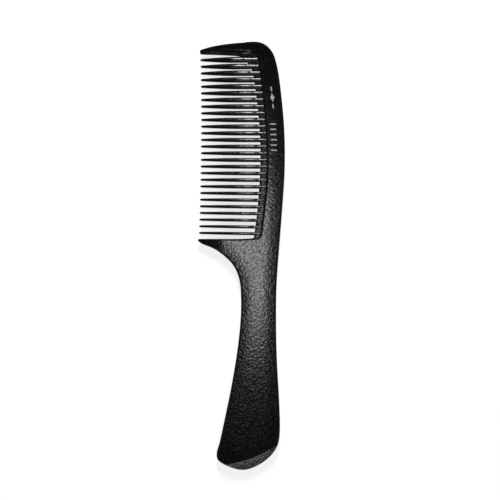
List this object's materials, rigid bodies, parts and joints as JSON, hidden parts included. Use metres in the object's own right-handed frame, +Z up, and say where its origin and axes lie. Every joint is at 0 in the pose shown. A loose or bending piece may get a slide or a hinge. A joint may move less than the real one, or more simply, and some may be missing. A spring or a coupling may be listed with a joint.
{
  "type": "handle comb",
  "caption": "Flat black plastic handle comb for detangling hair: coarse teeth between two guard teeth, curved back, and a waisted grip with a bevelled round end.",
  "frame": {"origin": "centre of the outline's box in X and Y, on the lower flat face that the comb lies on", "axes": "+Y along the comb from the end of the handle to the head, +Z up out of the face, +X from the teeth to the back"},
  "size_m": [0.0456, 0.225, 0.005],
  "materials": {
    "textured_plastic": "fine spark-eroded grain, satin black carbon-filled plastic",
    "polished_plastic": "polished black plastic, smooth enough for hair to slide on"
  },
  "bodies": {
    "root": {"spine": "textured_plastic", "handle": "textured_plastic", "tooth_bed": "textured_plastic", "top_guard_tooth": "textured_plastic", "heel_guard_tooth": "textured_plastic", "tooth_01": "polished_plastic", "tooth_02": "polished_plastic", "tooth_03": "polished_plastic", "tooth_04": "polished_plastic", "tooth_05": "polished_plastic", "tooth_06": "polished_plastic", "tooth_07": "polished_plastic", "tooth_08": "polished_plastic", "tooth_09": "polished_plastic", "tooth_10": "polished_plastic", "tooth_11": "polished_plastic", "tooth_12": "polished_plastic", "tooth_13": "polished_plastic", "tooth_14": "polished_plastic", "tooth_15": "polished_plastic", "tooth_16": "polished_plastic", "tooth_17": "polished_plastic", "tooth_18": "polished_plastic", "tooth_19": "polished_plastic", "tooth_20": "polished_plastic", "tooth_21": "polished_plastic", "tooth_22": "polished_plastic", "tooth_23": "polished_plastic", "tooth_24": "polished_plastic", "tooth_25": "polished_plastic", "tooth_26": "polished_plastic", "tooth_27": "polished_plastic"}
  },
  "joints": []
}
